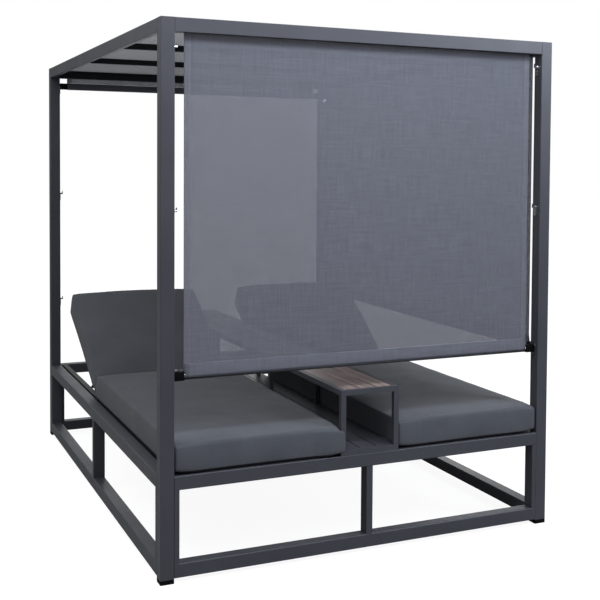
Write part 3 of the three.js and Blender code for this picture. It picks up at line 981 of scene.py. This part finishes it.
def inflate(made, low, high):
    """Blows the pad up between its pinned seams with a short cloth simulation. Returns the points,
    none of them moved further than cushion_cap."""
    before = vertex_values(made.data)
    side, end, down, up = off_faces(before, low, high)
    edge = np.sort(np.stack([side, end, np.minimum(down, up)]), axis=0)[1]
    weights = rising(edge, free_beyond, pinned_within)
    pins = made.vertex_groups.new(name="seams")
    for index in np.nonzero(weights)[0]:
        pins.add([int(index)], float(weights[index]), "REPLACE")
    cloth = made.modifiers.new("cloth", "CLOTH")
    cloth.settings.quality = 4
    cloth.settings.mass = 0.3
    cloth.settings.tension_stiffness = 12
    cloth.settings.compression_stiffness = 12
    cloth.settings.shear_stiffness = 6
    cloth.settings.bending_stiffness = 0.6
    cloth.settings.vertex_group_mass = "seams"
    cloth.settings.use_pressure = True
    cloth.settings.uniform_pressure_force = cushion_pressure
    cloth.settings.effector_weights.gravity = 0
    cloth.collision_settings.use_collision = False
    cloth.point_cache.frame_start = 1
    cloth.point_cache.frame_end = cushion_frames
    for number in range(1, cushion_frames + 1):
        scene.frame_set(number)
    applied(made)
    scene.frame_set(1)
    made.vertex_groups.clear()
    moved = vertex_values(made.data) - before
    far = np.linalg.norm(moved, axis=1, keepdims=True)
    return before + moved * np.minimum(1, cushion_cap / np.maximum(far, tiny))


def soft_limit(values, low, high, give=0.004):
    """Holds values between low and high, easing in over the last give."""
    top = high - give
    over = np.maximum(values - top, 0)
    values = np.where(values > top, top + give * (1 - np.exp(-over / give)), values)
    bottom = low + give
    under = np.maximum(bottom - values, 0)
    return np.where(values < bottom, bottom - give * (1 - np.exp(-under / give)), values)


def cushion_form(part, node, matrix, voxel):
    """The filled form of one cushion in its own frame, still without seams, and its solid's box."""
    points, faces = local_points(node, matrix)
    low, high = points.min(0), points.max(0)
    made = remeshed(f"{node}_form", points, faces, voxel)
    move_points(made.data, squared(vertex_values(made.data), low, high, part == "back"))
    co = inflate(made, low, high)
    outward = np.clip(((low[0] + high[0]) / 2 - co[:, 0]) / ((high[0] - low[0]) / 2), -1, 1)
    along = rising(co[:, 1], low[1], high[1])
    co[:, 2] = low[2] + (co[:, 2] - low[2]) * between(*fuller[part], rising(along, *fuller_run))
    bow = (1 - outward ** 2) * along ** 3
    co[:, 1] += head_bow[part][0] * bow
    co[:, 2] += head_bow[part][1] * bow * (co[:, 2] - low[2]) / (high[2] - low[2])
    co[:, 0] -= between(*outer_spread[part], along) * np.maximum(outward, 0)
    co[:, 0] = soft_limit(co[:, 0], low[0] - outer_room[part], high[0] + inner_room)
    co[:, 1] = soft_limit(co[:, 1], low[1] - foot_room[part], high[1] + end_room[part])
    co[:, 2] = soft_limit(co[:, 2], low[2] + base_gap, high[2] + crown_room[part], crown_give)
    if part == "seat":
        side, end, down, up = off_faces(co, low, high)
        corner = rising(side + end, corner_reach, 0) ** 2
        co[:, 2] += corner_lift * corner * rising(up, corner_depth, 0)
        co[:, 2] -= corner_drop * corner * rising(down, corner_depth, 0)
    move_points(made.data, co)
    return made, low, high


def sew(made, low, high):
    """Presses in the seams along the upper and lower edges, with small puckers beside them."""
    co = vertex_values(made.data)
    side, end, *levels = off_faces(co, low, high)
    edge = np.minimum(side, end)
    round_run = np.where(side < end, co[:, 1], co[:, 0])
    drift = pucker_drift * np.sin(round_run * pucker_drift_scale)
    ripple = np.sin(2 * math.pi * round_run / pucker_length + drift)
    depth = np.zeros(len(co))
    for down in levels:
        off = np.abs(edge - down) / math.sqrt(2)
        near = (edge < seam_reach) & (down < seam_reach)
        groove = np.where(near, np.maximum(0, 1 - (off / seam_width) ** 2) ** 2, 0)
        reach = np.maximum(0, 1 - np.hypot(edge, down) / pucker_reach)
        depth -= seam_depth * groove
        depth += pucker_depth * ripple * reach * (1 - groove)
    coarse, fine = wrinkle_scales
    rumple = [noise.noise(Vector(p) * coarse) + fine_wrinkles * noise.noise(Vector(p) * fine) for p in co]
    depth += wrinkle_depth * np.array(rumple)
    depth *= rising(co[:, 2], low[2], low[2] + flat_base)
    move_points(made.data, co + vertex_values(made.data, "normal") * depth[:, None])


def pushed_past_leg(made, low, high):
    """Lets the inner front corner of the left seat cushion swell forward and across the console's leg."""
    co = vertex_values(made.data)
    from_inner = high[0] - co[:, 0]
    ahead = rising(co[:, 1], low[1] + lip_depth, low[1])
    co[:, 1] -= lip_push * eased(rising(from_inner, *lip_run)) * ahead
    past = rising(co[:, 1], lip_from, lip_from - lip_step)
    co[:, 0] += lip_spread * rising(from_inner, *lip_spread_run) * past
    move_points(made.data, co)


def finish_cushion(made, name, matrix, node, body, cloth):
    made.name = name
    made.data.materials.clear()
    made.data.materials.append(cloth)
    smooth_shaded(made.data)
    made.matrix_world = matrix
    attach(made, body)
    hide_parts(node)


def mirrored(made, middle_x):
    twin = made.copy()
    twin.data = made.data.copy()
    scene.collection.objects.link(twin)
    co = vertex_values(twin.data)
    co[:, 0] = 2 * middle_x - co[:, 0]
    twin.data.flip_normals()
    move_points(twin.data, co)
    return twin


def cushions():
    hinges = {j["name"]: Vector(j["pos_m"]) for j in frame["joints"] if j["name"].endswith("recline")}
    places = {}
    for bed in beds:
        hinge = hinges[f"{bed}_recline"]
        places[bed] = {
            "seat": Matrix.Translation((hinge.x, 0, 0)),
            "back": Matrix.Translation(hinge) @ Matrix.Rotation(recline, 4, "X"),
        }
    for part, voxel in voxels.items():
        form, low, high = cushion_form(part, f"left_{part}_cushion", places["left"][part], voxel)
        sew(form, low, high)
        smooth = form.modifiers.new("fine", "SUBSURF")
        smooth.levels = 1
        applied(form)
        twin = mirrored(form, (low[0] + high[0]) / 2)
        if part == "seat":
            pushed_past_leg(form, low, high)
        # The cloth is painted black below this height, as shade under the cushion
        shade_top = float(low[2]) + under_shade_height[part]
        cloth = closed_cloth(f"{part}_cushion_weave", cushion_colour, cushion_yarn, shade_top)
        for bed, made in zip(beds, (form, twin)):
            body = "frame" if part == "seat" else f"{bed}_backrest"
            finish_cushion(made, f"{bed}_{part}_pad", places[bed][part], f"{bed}_{part}_cushion", body, cloth)


cushions()


# Studio
def seen_directly(tree):
    """1 for rays from the camera, also through the cloth, and 0 for all other light."""
    path = add(tree, "ShaderNodeLightPath").outputs
    return math_node(tree, "MAXIMUM", path["Is Camera Ray"], path["Is Transmission Ray"])


def pale_floor():
    """A floor that is white to the camera, with soft shadows, and darker to all other light."""
    material = bpy.data.materials.new("pale_floor")
    material.use_nodes = True
    tree = material.node_tree
    shader = tree.nodes["Principled BSDF"]
    shader.inputs["Roughness"].default_value = 0.9
    shader.inputs["Specular IOR Level"].default_value = 0.0
    seen = seen_directly(tree)
    tree.links.new(mixed_colours(tree, seen, floor_bounce, floor_seen), shader.inputs["Base Color"])
    share = math_node(tree, "MULTIPLY", seen, floor_glow_share)
    glow = add(tree, "ShaderNodeEmission", {"Color": white, "Strength": floor_glow})
    show_surface(tree, mixed_shaders(tree, share, shader.outputs[0], glow.outputs[0]))
    corners = [(x * floor_half, y * floor_half, 0) for x, y in ((-1, -1), (1, -1), (1, 1), (-1, 1))]
    floor = piece("floor", corners, [(0, 1, 2, 3)], material)


def sky():
    """A sky that brightens upwards, and plain white behind the daybed."""
    world = bpy.data.worlds.new("studio")
    scene.world = world
    world.use_nodes = True
    tree = world.node_tree
    above = tree.nodes["Background"]
    seen = seen_directly(tree)
    height = axes_of(tree, add(tree, "ShaderNodeTexCoord").outputs["Generated"])["Z"]
    above.inputs["Color"].default_value = sky_colour
    tree.links.new(mapped(tree, height, sky_low, sky_high, *sky_rise), above.inputs["Strength"])
    behind = add(tree, "ShaderNodeBackground", {"Color": white, "Strength": 1.0})
    show_surface(tree, mixed_shaders(tree, seen, above.outputs[0], behind.outputs[0]), "World Output")


def lamp(name, place, target, size, power, colour):
    data = bpy.data.lights.new(name, "AREA")
    data.shape = "RECTANGLE"
    data.size, data.size_y = size
    data.energy = power
    data.color = colour
    made = bpy.data.objects.new(name, data)
    made.location = place
    made.visible_camera = False
    made.visible_transmission = False
    made.rotation_euler = (Vector(target) - Vector(place)).to_track_quat("-Z", "Y").to_euler()
    scene.collection.objects.link(made)


pale_floor()
sky()
for lamp_name, values in lamps.items():
    lamp(lamp_name, *values)
